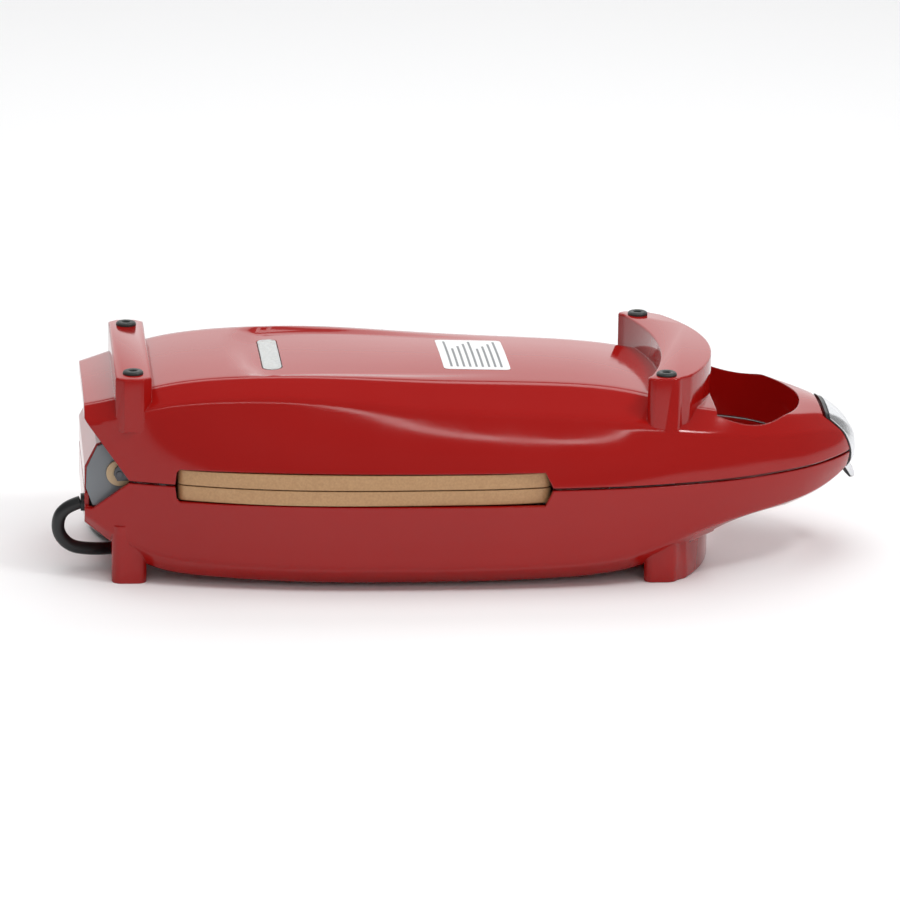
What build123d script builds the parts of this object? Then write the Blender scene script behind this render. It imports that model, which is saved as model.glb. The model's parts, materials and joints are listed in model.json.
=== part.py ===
from build123d import *
import math
import os

import numpy as np

# Clamshell donut maker, lying closed on its base.
# X runs along its length, with the hinge at -X and the carrying handle at +X.
# Y runs across it and Z is up. Heights below are measured from the plane where
# the two halves meet, and every node is lifted by seam_height when it is saved,
# so the finished model stands on Z = 0 with the middle of its length at X = 0.

# ---- driving dimensions, mm ---------------------------------------------------
body_length = 374.0          # rear wall to the front of the latch
body_width = 160.0           # widest point of the two rims
half_height = 50.2           # seam plane to the end of the feet, in each half
wall = 2.6                   # moulded shell wall
rim_gap = 0.6                # each rim stops this far short of the seam plane

seam_height = half_height
half_length = body_length / 2
half_width = body_width / 2
rear = -half_length
front = half_length

# cooking plates
plate_rear_x = rear + 43.5
plate_front_x = front - 154.5
plate_gap = 0.3              # each plate stops this far short of the seam plane
plate_slab = 4.0
plate_skirt = 7.0            # height of the visible flange
skirt_wall = 2.6
notch_clearance = 0.6        # the shell rims are cut this far round the flanges
ring_pitch_x = 56.0
ring_pitch_y = 76.0
ring_first_x = (plate_rear_x + plate_front_x) / 2 - ring_pitch_x
ring_radius = 16.5           # centre of the cooking groove
groove_radius = 9.5
cup_wall = 2.6

# heating elements
element_radius = 3.25
element_half_pitch = 5.8
element_rear_x = plate_rear_x + 9.5
element_front_x = plate_front_x - 14.5
element_bend = 5.0           # the cold ends stand this far in from the rear end
element_clearance = 0.4

# steel frames and their fastenings
sheet = 1.2
frame_level = 14.5           # inner face of each frame, from the seam plane
screw_radius = 1.5
screw_clearance = 0.2
screw_head = 3.2
standoff_radius = 4.2
boss_radius = 4.2
plate_screw_y = half_width - 20.0
shell_screw_rear_x = rear + 59.0
shell_screw_front_x = front - 111.0
shell_screw_y = 38.0

# feet bars and posts
bar_x = rear + 23.0
bar_length = 17.0
bar_half_width = half_width - 22.0
bar_corner = 4.0
post_width = 22.0            # of each rear foot, across the body
post_inner_y = bar_half_width - post_width
pad_y_rear = bar_half_width - 11.4
pad_x_front = front - 99.3
pad_y_front = half_width - 21.7
pad_radius = 4.85
pad_hole = 1.7
pad_height = 1.7
crescent_inner_x = front - 96.2
crescent_inner_radius = 172.0
crescent_outer_x = front - 71.3
crescent_outer_radius = 112.0
crescent_half_width = half_width - 14.5

# carrying handle
hole_rear_x = front - 74.0
hole_centre_x = front - 70.0
hole_half_length = 42.5
hole_half_width = half_width - 26.0

# hinge
pivot_x = rear + 16.4
pivot_z = 2.4
pin_radius = 1.6
pivot_clearance = 0.05
tower_half_width = half_width - 34.0
tower_bottom = -14.0
tower_boss_y = 18.0
cheek = 2.0
cheek_gap = 0.2              # left between a cheek and the base's rear wall
bush_radius = 6.2
bush_length = 1.7
arm = 2.0
side_gap = 0.25              # running gap beside each hinge arm
arm_inner_y = tower_half_width + cheek + bush_length + side_gap
arm_root = 24.6              # the arms reach this far in front of the pivot
frame_rear = 20.6            # and the frames' sheets start here, clear of the tower
chamfer_apex_x = rear + 20.8
chamfer_top = 0.576 * half_height
chamfer_bottom = -14.6
rear_wall_top = -8.0

# latch
latch_x = front - 14.6
latch_z = 14.5
latch_pin_radius = 1.2
latch_pin_half = 18.0
latch_top_half = 21.5
latch_seam_half = 13.5
latch_low_half = 9.0
latch_low_z = -13.5
latch_clearance = 0.6
latch_swing_gap = 2.4        # left behind the latch's rear edge, for its swing
latch_proud = 0.8            # the latch stands this far outside the nose
latch_layer = 2.0
liner_layer = 2.2
pocket_depth = 5.2
trough_radius = 5.0
trough_half = 14.5
ear_inner_y = 5.0
ear_outer_y = 12.0
hook_half = 7.0
nose_stop = 1.0              # the shells end this far behind the latch's front

# lens, lamps and label
lens_x = rear + 90.0
lens_length = 10.4
lens_width = 57.0
lens_clearance = 0.15
lens_depth = 6.2             # from the top of the feet to the lens's underside
lamp_radius = 2.6
holder_floor = half_height - 14.4
holder_sheet = 2.0
label_x = rear + 188.0
label_y = 2.0
label_length = 32.0
label_width = 56.0
label_thickness = 0.8
label_clearance = 0.1

# controls inside the base
terminal_x = rear + 75.0
fuse_x = rear + 127.0
thermostat_x = rear + 167.0
thermostat_y = 30.0
fuse_y = -28.0
fuse_radius = 2.5
wire_radius = 1.1

# cord
cord_diameter = 6.2
cord_exit_y = -34.0
cord_exit_z = -16.0
relief_outside = 1.5         # the strain relief shows this far behind the wall
relief_length = 24.0
relief_radius = 5.2
relief_flange_radius = 6.0
exit_x = rear - relief_outside
coil_turn_radius = 34.0
coil_centre = (-62.0, 150.0)
plug_y = 184.0
plug_level = 10.0            # the plug's axis, from the floor
plug_pin_pitch = 12.7

BETWEEN_CUPS = [ring_first_x + 0.5 * ring_pitch_x, ring_first_x + 1.5 * ring_pitch_x]
PLATE_SCREWS = [(x, y) for x in BETWEEN_CUPS for y in (-plate_screw_y, plate_screw_y)]
SHELL_SCREWS = [(x, y) for x in (shell_screw_rear_x, shell_screw_front_x)
                for y in (-shell_screw_y, shell_screw_y)]

# Stations of the two halves along X. Each row holds x, the rim's half width,
# the fold (y, z) on the flank, the edge (y, z) of the flat crown, and the
# crown's height in the middle. They are for a body of the three station sizes
# given below, and scale with the present one.
LID_STATIONS = [
    (-187.0, 50.0, 49.0, 27.0, 43.5, 33.8, 34.6),
    (-172.0, 54.5, 51.5, 31.0, 45.5, 37.5, 38.6),
    (-155.0, 61.3, 54.0, 37.0, 46.0, 43.4, 44.8),
    (-130.0, 69.0, 57.0, 40.5, 47.0, 47.3, 48.4),
    (-91.0, 75.5, 60.0, 41.5, 48.5, 48.4, 49.2),
    (-57.0, 78.6, 62.5, 38.5, 49.0, 47.0, 48.6),
    (-23.0, 80.0, 64.0, 34.5, 47.0, 44.4, 46.4),
    (16.0, 80.0, 64.0, 32.5, 44.0, 43.0, 45.0),
    (60.0, 78.0, 62.0, 31.0, 42.0, 41.2, 43.0),
    (84.0, 74.0, 63.0, 25.0, 45.0, 36.5, 38.0),
    (100.0, 70.0, 61.5, 22.0, 50.0, 30.6, 32.0),
    (116.0, 65.5, 60.0, 19.4, 52.5, 27.0, 28.8),
    (132.0, 58.8, 54.0, 17.4, 47.5, 25.0, 26.8),
    (147.0, 50.8, 46.5, 16.0, 39.0, 23.0, 25.2),
    (160.0, 42.5, 36.0, 16.2, 25.0, 22.2, 24.2),
    (170.0, 33.0, 27.5, 14.2, 18.0, 20.3, 22.4),
    (178.0, 23.5, 19.5, 11.0, 12.5, 16.0, 18.0),
    (183.0, 16.0, 13.2, 7.6, 8.5, 11.0, 12.4),
    (186.0, 9.0, 7.4, 4.2, 4.8, 6.0, 6.8),
]
BASE_STATIONS = [
    (-187.0, 50.0, 48.5, 16.0, 44.0, 22.2, 23.2),
    (-172.0, 54.5, 52.5, 26.0, 46.0, 33.6, 34.8),
    (-155.0, 61.3, 58.5, 31.5, 50.0, 40.6, 42.0),
    (-130.0, 69.0, 65.5, 35.0, 56.0, 44.6, 46.0),
    (-91.0, 75.5, 71.5, 36.5, 61.0, 45.8, 47.4),
    (-57.0, 78.6, 74.0, 36.5, 63.0, 45.8, 47.6),
    (-23.0, 80.0, 75.0, 36.5, 64.0, 45.8, 47.6),
    (16.0, 80.0, 75.0, 36.5, 63.5, 45.6, 47.4),
    (60.0, 78.0, 72.5, 35.0, 60.5, 44.4, 46.0),
    (84.0, 74.0, 68.0, 31.0, 57.0, 39.4, 41.0),
    (100.0, 70.0, 64.0, 25.0, 54.0, 32.3, 34.0),
    (116.0, 65.5, 58.5, 21.5, 48.0, 27.4, 29.2),
    (132.0, 58.8, 51.5, 19.0, 41.0, 24.2, 26.0),
    (147.0, 50.8, 44.0, 17.2, 33.5, 21.8, 23.6),
    (160.0, 42.5, 36.5, 15.2, 26.0, 19.6, 21.4),
    (170.0, 33.0, 28.0, 12.8, 18.5, 16.8, 18.6),
    (178.0, 23.5, 19.8, 10.0, 12.5, 13.2, 14.8),
    (183.0, 16.0, 13.4, 7.0, 8.5, 9.2, 10.4),
    (186.0, 9.0, 7.4, 4.0, 4.8, 5.2, 6.0),
]
STATION_HALF_LENGTH = 187.0
STATION_HALF_WIDTH = 80.0
STATION_HALF_HEIGHT = 50.2


def save(shape, node):
    """Lift a shape to its height above the floor and write it as one node."""
    export_step(Pos(0, 0, seam_height) * shape, f"parts/{node}.step")


def block(x0, x1, y0, y1, z0, z1):
    """A box between two corners."""
    centre = Pos((x0 + x1) / 2, (y0 + y1) / 2, (z0 + z1) / 2)
    return centre * Box(x1 - x0, y1 - y0, z1 - z0)


def post(x, y, z0, z1, radius):
    """An upright cylinder between two heights."""
    return Pos(x, y, (z0 + z1) / 2) * Cylinder(radius, abs(z1 - z0))


def cross_pin(x, z, y0, y1, radius):
    """A cylinder that lies along Y."""
    return Pos(x, (y0 + y1) / 2, z) * Rot(90, 0, 0) * Cylinder(radius, abs(y1 - y0))


def side_profile(points, y0, y1):
    """A plate with the given (x, z) outline that spans y0 to y1."""
    outline = Plane.XZ.offset(-y1) * make_face(Polyline(*points, close=True))
    return extrude(outline, amount=y1 - y0)


def plan_profile(points, z0, z1):
    """A plate with the given (x, y) outline that spans z0 to z1."""
    return extrude(Pos(0, 0, z0) * make_face(Polyline(*points, close=True)), amount=z1 - z0)


def both_sides(shape):
    """A shape and its mirror image across the middle of the body."""
    return shape + mirror(shape, about=Plane.XZ)


# ---- shells ------------------------------------------------------------------
def section(row, up, inset):
    """The face across one half at one station, moved inwards by inset."""
    x, rim, fold_y, fold_z, edge_y, edge_z, crown = row
    wide = half_width / STATION_HALF_WIDTH
    tall = half_height / STATION_HALF_HEIGHT
    rim, fold_y, edge_y = rim * wide, fold_y * wide, edge_y * wide
    fold_z, edge_z, crown = fold_z * tall, edge_z * tall, crown * tall
    flank = (rim - 0.28 * (rim - fold_y), 0.5 * fold_z)
    brow = (0.5 * edge_y, crown - 0.25 * (crown - edge_z))
    side = [(rim - inset, 0.0)]
    for y, z in [flank, (fold_y, fold_z), (edge_y, edge_z), brow]:
        normal = Vector(0, y**3 / rim**4, z**3 / crown**4).normalized()
        side.append((y - inset * normal.Y, z - inset * normal.Z))
    arch = side + [(0.0, crown - inset)] + [(-y, z) for y, z in reversed(side)]
    points = [(x, y, up * z) for y, z in arch]
    curve = Spline(*points, tangents=[(0, 0, up), (0, 0, -up)])
    return make_face([curve, Line(points[-1], points[0])])


def stretched(stations):
    """The stations spread over the present body length."""
    scale = half_length / STATION_HALF_LENGTH
    return [(row[0] * scale,) + row[1:] for row in stations]


def hull(stations, up, inset=0.0):
    """One half of the body as a solid, with its skin moved inwards by inset."""
    rows = [row for row in stretched(stations) if row[-1] > 3.5 * inset]
    first, last = rows[0], rows[-1]
    rows[0] = (first[0] + max(inset, 0),) + first[1:]
    rows[-1] = (last[0] - min(inset, 0),) + last[1:]
    return loft([section(row, up, inset) for row in rows])


def handle_hole(extra=0.0):
    """The D-shaped hand hole, through both halves."""
    tall = 2 * half_height
    oval = Pos(hole_centre_x, 0) * Ellipse(hole_half_length + extra, hole_half_width + extra)
    cutter = extrude(Pos(0, 0, -half_height) * oval, amount=tall)
    return cutter & block(hole_rear_x - extra, front + 10, -half_width, half_width,
                          -half_height, half_height)


def bar_outline(inset):
    """The rear bar's outline, with its four corners cut off."""
    x0 = bar_x - bar_length / 2 + inset
    x1 = bar_x + bar_length / 2 - inset
    y = bar_half_width - inset
    corners = [(x0, y - bar_corner), (x0 + bar_corner, y), (x1 - bar_corner, y), (x1, y - bar_corner)]
    return corners + [(px, -py) for px, py in reversed(corners)]


def crescent(z0, z1, inset):
    """The front bar, which bends towards the handle."""
    inner = crescent_inner_radius + inset
    outer = crescent_outer_radius - inset
    outside = Pos(crescent_outer_x - crescent_outer_radius, 0) * Circle(outer)
    inside = Pos(crescent_inner_x - crescent_inner_radius, 0) * Circle(inner)
    ends = Pos(crescent_inner_x, 0) * Rectangle(80, 2 * (crescent_half_width - inset))
    face = (outside - inside) & ends
    return extrude(Pos(0, 0, z0) * face, amount=z1 - z0)


def rear_posts(z0, z1, inset):
    """The two rear feet of the base."""
    x0 = bar_x - bar_length / 2 + inset
    x1 = bar_x + bar_length / 2 - inset
    foot = block(x0, x1, -bar_half_width + inset, -post_inner_y - inset, z0, z1)
    foot_width = post_width - 2 * inset
    foot = fillet(foot.edges().filter_by(Axis.Z), min(bar_corner - inset / 2, foot_width / 3))
    return both_sides(foot)


def nose_zone(clearance):
    """The part of the nose that the latch covers, narrower towards its tip."""
    top = latch_top_half + clearance
    middle = latch_seam_half + clearance
    low = latch_low_half + clearance
    bottom = latch_low_z - clearance
    right = [(top, half_height), (top, 23.0), (middle, 0.0), (low, -10.0), (low, bottom)]
    points = right + [(-y, z) for y, z in reversed(right)]
    back = latch_x - 2.0 - (latch_swing_gap if clearance > 0 else 0)
    return extrude(Plane.YZ.offset(back) * make_face(Polyline(*points, close=True)), amount=60)


def rim_notches():
    """The openings in both rims that show the edges of the cooking plates."""
    x0 = plate_rear_x - notch_clearance
    x1 = plate_front_x + notch_clearance
    z = plate_skirt + plate_gap + notch_clearance
    slant = 5.0
    points = [(x0 - slant / 2, 0), (x0, z - 1.5), (x0 + 1.5, z), (x1 - slant, z), (x1, 0)]
    points += [(px, -pz) for px, pz in reversed(points[1:-1])]
    inner_y = half_width * 0.7
    near = side_profile(points, -half_width - 5, -inner_y)
    return both_sides(near)


def cavity(stations, up):
    """The hollow inside one shell, which leaves the handle and nose walls."""
    hollow = hull(stations, up, inset=wall)
    hollow = hollow - handle_hole(wall)
    nose_block = block(latch_x - 8, half_length, -latch_top_half - 3, latch_top_half + 3,
                       -half_height, half_height)
    return hollow - nose_block


def frame_posts(stations, up):
    """Screw posts from the crown to the frame, cut to the hull."""
    crown_end = up * half_height
    face = up * (frame_level + sheet)
    posts = Part()
    for x, y in SHELL_SCREWS:
        column = post(x, y, face, crown_end, boss_radius)
        posts += column - post(x, y, face, up * (frame_level + 12), screw_radius + screw_clearance)
    return posts & hull(stations, up)


def rounded_feet(shape, z):
    """Round the lowest edges of the feet."""
    edges = shape.edges().filter_by_position(Axis.Z, z - 0.01, z + 0.01)
    return fillet(edges, 2.5)


def lid_shell():
    outer = hull(LID_STATIONS, 1)
    low = 10.0
    bars = extrude(Pos(0, 0, low) * make_face(Polyline(*bar_outline(0), close=True)),
                   amount=half_height - low)
    bars += crescent(low, half_height, 0)
    hollow = cavity(LID_STATIONS, 1)
    inner_bars = extrude(Pos(0, 0, low) * make_face(Polyline(*bar_outline(wall), close=True)),
                         amount=half_height - low - wall)
    inner_bars += crescent(low, half_height - wall, wall)
    inner_bars -= handle_hole(wall)
    shell = outer + bars - hollow - inner_bars
    shell -= handle_hole()
    shell += frame_posts(LID_STATIONS, 1)
    chamfer = [(rear - 5, chamfer_top), (rear, chamfer_top), (chamfer_apex_x, rim_gap),
               (chamfer_apex_x, -1), (rear - 5, -1)]
    shell -= side_profile(chamfer, -half_width, half_width)
    shell -= block(rear - 5, front + 5, -half_width, half_width, -1, rim_gap)
    shell -= rim_notches()
    pocket = nose_zone(latch_clearance) - hull(LID_STATIONS, 1, inset=pocket_depth)
    shell -= pocket
    shell -= cross_pin(latch_x, latch_z, -trough_half, trough_half, trough_radius)
    shell -= latch_pin()
    shell -= lens_prism(lens_clearance)
    return shell - label_recess()


def base_shell():
    outer = hull(BASE_STATIONS, -1)
    high = -10.0
    feet = rear_posts(-half_height, high, 0) + crescent(-half_height, high, 0)
    feet = rounded_feet(feet, -half_height)
    hollow = cavity(BASE_STATIONS, -1)
    inner_feet = rear_posts(-half_height + wall, high, wall)
    inner_feet += crescent(-half_height + wall, high, wall)
    inner_feet -= handle_hole(wall)
    shell = outer + feet - hollow - inner_feet
    shell -= handle_hole()
    shell += frame_posts(BASE_STATIONS, -1)
    shell += tower_bosses()
    side_chamfer = [(rear - 5, 1), (chamfer_apex_x, 1), (chamfer_apex_x, -rim_gap),
                    (rear + 3.6, chamfer_bottom), (rear - 5, chamfer_bottom)]
    outer_y = tower_half_width + cheek
    inner_y = tower_half_width - cheek_gap
    shell -= both_sides(side_profile(side_chamfer, -half_width, -outer_y))
    shell -= both_sides(block(rear - 5, pivot_x + 8, -outer_y, -inner_y, tower_bottom, 1))
    shell -= block(rear - 5, pivot_x + 8, -outer_y, outer_y, rear_wall_top, 1)
    shell -= block(rear - 5, front + 5, -half_width, half_width, -rim_gap, 1)
    shell -= rim_notches()
    shell -= nose_zone(latch_clearance) - hull(BASE_STATIONS, -1, inset=pocket_depth)
    shell -= catch_slot()
    return shell - relief_bore()


def tower_bosses():
    """Two posts that carry the hinge tower on the base's floor."""
    bosses = Part()
    for y in (-tower_boss_y, tower_boss_y):
        bosses += post(pivot_x + 1, y, -half_height, tower_bottom, boss_radius)
    return bosses & hull(BASE_STATIONS, -1)


# ---- hinge -------------------------------------------------------------------
def hinge_tower():
    """The red cover between the hinge arms, open underneath."""
    profile = [(rear, -5.5), (rear, 5.0), (rear + 5.6, 16.0), (rear + 11.0, 18.0),
               (rear + 19.0, 18.0), (rear + 24.0, 11.0), (rear + 24.0, tower_bottom),
               (rear + 4.0, tower_bottom), (rear + 4.0, -5.5)]
    inner_profile = [(rear + 2.4, -6.0), (rear + 2.4, 4.4), (rear + 7.2, 14.2), (rear + 11.4, 15.6),
                     (rear + 17.6, 15.6), (rear + 21.4, 10.4), (rear + 21.4, tower_bottom - 1),
                     (rear + 6.4, tower_bottom - 1), (rear + 6.4, -6.0)]
    inner_width = tower_half_width - wall
    tower = side_profile(profile, -tower_half_width, tower_half_width)
    tower -= side_profile(inner_profile, -inner_width, inner_width)
    for y in (-tower_boss_y, tower_boss_y):
        tower += post(pivot_x + 1, y, tower_bottom, 16.0, boss_radius)
    for y in (-tower_half_width, tower_half_width):
        tower += cross_pin(pivot_x, pivot_z, 0.8 * y, y, pin_radius + 3)
    tower -= cross_pin(pivot_x, pivot_z, -tower_half_width - 1, tower_half_width + 1, pin_radius)
    return tower - along_cord(rear - 1, rear + 30, relief_flange_radius + 1.2)


def hinge_cheek():
    """The smooth grey side plate of the hinge tower."""
    low = tower_bottom + 0.4
    profile = [(rear + 0.6, -5.0), (rear + 1.0, 4.6), (rear + 6.0, 15.2), (rear + 11.2, 17.2),
               (rear + 18.6, 17.2), (rear + 23.6, 10.6), (rear + 23.6, low), (rear + 3.8, low)]
    plate = side_profile(profile, -tower_half_width - cheek, -tower_half_width)
    return plate - cross_pin(pivot_x, pivot_z, -half_width, 0, pin_radius)


def pivot_bush():
    """The tan washer between a cheek and a hinge arm."""
    y = -tower_half_width - cheek
    bush = cross_pin(pivot_x, pivot_z, y - bush_length, y, bush_radius)
    return bush - cross_pin(pivot_x, pivot_z, y - bush_length - 1, y + 1, pin_radius)


def pivot_pin():
    """The steel pin that a hinge arm turns on, pressed into the tower."""
    return cross_pin(pivot_x, pivot_z, -arm_inner_y - arm - 0.4, -0.8 * tower_half_width, pin_radius)


def hinge_arm():
    """One arm of the lid's frame, from its edge down to the pivot."""
    top = frame_level + sheet
    profile = [(arm_root, top), (10.6, top), (-2.2, pivot_z + 2.6), (-2.8, pivot_z),
               (-1.0, pivot_z - 3.2), (3.6, pivot_z - 3.0), (12.6, 2.0), (arm_root, 9.0)]
    profile = [(pivot_x + x, z) for x, z in profile]
    plate = side_profile(profile, -arm_inner_y - arm, -arm_inner_y)
    bore = cross_pin(pivot_x, pivot_z, -arm_inner_y - arm - 1, -arm_inner_y + 1,
                     pin_radius + pivot_clearance)
    return plate - bore


# ---- steel frames and cooking plates --------------------------------------------
def frame_sheet(up):
    """The pressed steel sheet that carries a cooking plate in its shell."""
    rear_x = pivot_x + frame_rear
    side = arm_inner_y + arm
    wide = half_width - 15.5
    half = [(rear_x, side), (rear + 62.0, side), (rear + 79.0, wide), (front - 117.0, wide),
            (front - 89.0, wide - 10.5)]
    outline = half + [(x, -y) for x, y in reversed(half)]
    z0, z1 = sorted((up * frame_level, up * (frame_level + sheet)))
    frame = plan_profile(outline, z0, z1)
    for x, y in PLATE_SCREWS + SHELL_SCREWS:
        frame -= post(x, y, z0 - 1, z1 + 1, screw_radius + screw_clearance)
    for y in (-element_half_pitch, element_half_pitch):
        frame -= post(element_rear_x + element_bend, y, z0 - 1, z1 + 1,
                      element_radius + element_clearance)
    return frame - block(plate_front_x - 2.5, plate_front_x + 33.5, -30, 30, z0 - 1, z1 + 1)


def lid_frame():
    return frame_sheet(1) + both_sides(hinge_arm())


def base_frame():
    return frame_sheet(-1)


PLATE_SHARES = [0.0, 0.16, 0.30, 0.47, 0.76, 0.90, 1.0]


def plate_side(x, inset):
    """Half the width of a cooking plate at x, which follows the rims."""
    share = (x - plate_rear_x) / (plate_front_x - plate_rear_x)
    sides = [62.0, 70.4, 74.8, 77.2, 77.4, 76.4, 73.6]
    return float(np.interp(share, PLATE_SHARES, sides)) * half_width / STATION_HALF_WIDTH - inset


def plate_face(inset):
    """The plan outline of a cooking plate."""
    x0 = plate_rear_x + inset
    x1 = plate_front_x - inset
    inner_stops = [plate_rear_x + share * (plate_front_x - plate_rear_x) for share in PLATE_SHARES[1:-1]]
    stops = [x0] + inner_stops + [x1]
    near = Spline(*[(x, -plate_side(x, inset)) for x in stops])
    far = Spline(*[(x, plate_side(x, inset)) for x in stops])
    rear = Line(near @ 0, far @ 0)
    front = Line(near @ 1, far @ 1)
    face = make_face([near, far, rear, front])
    return fillet(face.vertices(), 5.0 - inset / 2)


def cooking_plate(up):
    """A cast plate with six ring-shaped cups, seen from its cooking side."""
    def layer(inset, z0, z1):
        low, high = sorted((up * z0, up * z1))
        return extrude(Pos(0, 0, low) * plate_face(inset), amount=high - low)

    plate = layer(0, plate_gap, plate_gap + plate_skirt)
    plate -= layer(skirt_wall, plate_gap + plate_slab, plate_gap + plate_skirt + 1)
    grooves = Part()
    for column in range(3):
        for y in (-ring_pitch_y / 2, ring_pitch_y / 2):
            place = Pos(ring_first_x + column * ring_pitch_x, y, up * plate_gap)
            plate += place * half_ring(ring_radius, groove_radius + cup_wall, up)
            grooves += place * Torus(ring_radius, groove_radius)
    plate -= grooves
    top = plate_gap + plate_slab
    for x, y in PLATE_SCREWS:
        plate += post(x, y, up * top, up * frame_level, standoff_radius)
        plate -= post(x, y, up * (top + 1), up * frame_level, screw_radius + screw_clearance)
    return plate


def half_ring(radius, section_radius, up):
    """The half of a ring on the outer side of a plate."""
    size = 4 * (radius + section_radius)
    ring = Torus(radius, section_radius)
    return ring & (Pos(0, 0, up * size / 2) * Box(size, size, size))


def heating_element(up):
    """A hairpin tube element with its two cold ends bent away from the plate."""
    z = up * (plate_gap + plate_slab + element_radius)
    end_z = up * (frame_level + 11.5)
    x0 = element_rear_x + element_bend
    x1 = element_front_x
    y = element_half_pitch
    leg = Line((x0, -y, z), (x1, -y, z))
    bend = ThreePointArc((x1, -y, z), (x1 + y, 0, z), (x1, y, z))
    back = Line((x1, y, z), (x0, y, z))
    hairpin = Wire([leg, bend, back])
    face = Plane(origin=(x0, -y, z), z_dir=(1, 0, 0)) * Circle(element_radius)
    tube = sweep(face, path=hairpin)
    for side in (-y, y):
        tube += post(x0, side, z, end_z, element_radius)
        tube += Pos(x0, side, z) * Sphere(element_radius)
        tube += post(x0, side, end_z, end_z + up * 6, 1.2)
    return tube


def element_clamps(up):
    """Two strips that hold the element down, between the cups."""
    z0 = up * (plate_gap + plate_slab + 2 * element_radius + 0.1)
    z1 = z0 + up * sheet
    low, high = sorted((z0, z1))
    clamps = Part()
    for x in BETWEEN_CUPS:
        clamps += block(x - 5, x + 5, -12.0, 12.0, low, high)
        for y in (-12.0, 12.0):
            base_z = up * (plate_gap + plate_slab)
            clamps += post(x, y, base_z, z1, 2.2)
    return clamps


def plate_screws(up):
    """The screws that hold plate and frame, and frame and shell, together."""
    face = up * (frame_level + sheet)
    inside = up * frame_level
    screws = Part()
    for x, y in PLATE_SCREWS:
        screws += post(x, y, face, face + up * 2.0, screw_head)
        screws += post(x, y, face, up * (frame_level - 6), screw_radius)
    for x, y in SHELL_SCREWS:
        screws += post(x, y, inside, inside - up * 2.0, screw_head)
        screws += post(x, y, inside, up * (frame_level + 10), screw_radius)
    return screws


# ---- controls inside the base -------------------------------------------------
controls_z = -(frame_level + sheet)


def thermostat():
    """A snap-disc thermostat on a bracket under the base's frame."""
    x, y, z = thermostat_x, thermostat_y, controls_z
    body = post(x, y, z - 9.0, z, 8.0)
    flange = block(x - 14.0, x + 14.0, y - 5.0, y + 5.0, z - 1.0, z)
    for side in (-2.5, 2.5):
        body += block(x + side - 0.4, x + side + 0.4, y - 3.0, y + 3.0, z - 16.0, z - 9.0)
    return body + flange


def thermal_fuse():
    """A thermal cut-out in its sleeve, strapped under the base's frame."""
    x, y, z = fuse_x, fuse_y, controls_z
    sleeve = Pos(x, y, z - fuse_radius - 0.1) * Rot(0, 90, 0) * Cylinder(fuse_radius, 34.0)
    strap = block(x - 2.0, x + 2.0, y - 4.5, y + 4.5, z - 6.2, z - 5.2)
    for side in (-4.0, 4.0):
        strap += block(x - 2.0, x + 2.0, y + side - 0.5, y + side + 0.5, z - 6.2, z)
    return sleeve + strap


def terminal_block():
    """A three-way terminal block near the cord's entry."""
    x, z = terminal_x, controls_z
    body = block(x - 6.0, x + 6.0, -30.0, 6.0, z - 14.0, z)
    for y in (-24.0, -12.0, 0.0):
        body -= post(x, y, z - 14.5, z - 8.0, 2.0)
        body -= Pos(x, y, z - 5.0) * Rot(0, 90, 0) * Cylinder(2.2, 20.0)
    return body


def wire(points):
    """A short insulated wire through the given points."""
    path = FilletPolyline(*points, radius=8.0)
    start = Plane(origin=path @ 0, z_dir=path % 0)
    return sweep(start * Circle(wire_radius), path=path)


def fuse_wire():
    """The wire from the terminal block to the thermal cut-out."""
    z = controls_z
    block_end = (terminal_x + 6.4, -24.0, z - 5.0)
    fuse_end = (fuse_x - 17.2, fuse_y, z - fuse_radius - 0.1)
    return wire([block_end, (terminal_x + 20.0, -24.0, z - 9.0), fuse_end])


def thermostat_wire():
    """The wire from the terminal block to the thermostat."""
    z = controls_z
    block_end = (terminal_x + 6.4, -12.0, z - 5.0)
    blade_end = (thermostat_x - 4.2, thermostat_y, z - 13.0)
    return wire([block_end, (terminal_x + 42.0, -2.0, z - 20.0),
                 (thermostat_x - 20.0, thermostat_y - 12.0, z - 20.0), blade_end])


# ---- lid fittings --------------------------------------------------------------
def lens_face(extra):
    """The lens outline: a slot with round ends, across the lid."""
    return Pos(lens_x, 0) * Rot(0, 0, 90) * SlotOverall(lens_width + 2 * extra,
                                                       lens_length + 2 * extra)


def lens_prism(extra):
    """An upright prism over the lens outline, through the crown."""
    return extrude(Pos(0, 0, half_height - lens_depth) * lens_face(extra), amount=8.0)


def indicator_lens():
    """The clear lens, which lies just below the crown."""
    return lens_prism(0) & hull(LID_STATIONS, 1, inset=0.2)


def lamp_holder():
    """The bracket under the lens, which hangs from the crown."""
    side = lens_length / 2 + 1.8
    end = lens_width / 2 - 4.5
    top = holder_floor + holder_sheet
    holder = block(lens_x - side, lens_x + side, -end, end, holder_floor, top)
    for y in (-end, end):
        inner = y - math.copysign(holder_sheet, y)
        y0, y1 = sorted((y, inner))
        holder += block(lens_x - side, lens_x + side, y0, y1, holder_floor, half_height)
    holder &= hull(LID_STATIONS, 1, inset=wall)
    return holder - lens_prism(lens_clearance)


def indicator_lamps():
    """The power lamp and the ready lamp, lying under the lens."""
    lamps = Part()
    level = holder_floor + holder_sheet + lamp_radius
    for y in (-11.0, 11.0):
        lamps += cross_pin(lens_x, level, y - 8, y + 8, lamp_radius)
    return lamps


def label_prism(extra):
    """An upright prism over the label's outline, through the crown."""
    outline = RectangleRounded(label_length + 2 * extra, label_width + 2 * extra, 2.5 + extra)
    return extrude(Pos(label_x, label_y, half_height - 12.0) * outline, amount=14.0)


def rating_label():
    """A thin blank plate, let into the crown."""
    plate = label_prism(0) & hull(LID_STATIONS, 1)
    return plate - hull(LID_STATIONS, 1, inset=label_thickness)


def label_recess():
    """The shallow recess that the label lies in."""
    return label_prism(label_clearance) - hull(LID_STATIONS, 1, inset=label_thickness)


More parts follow.
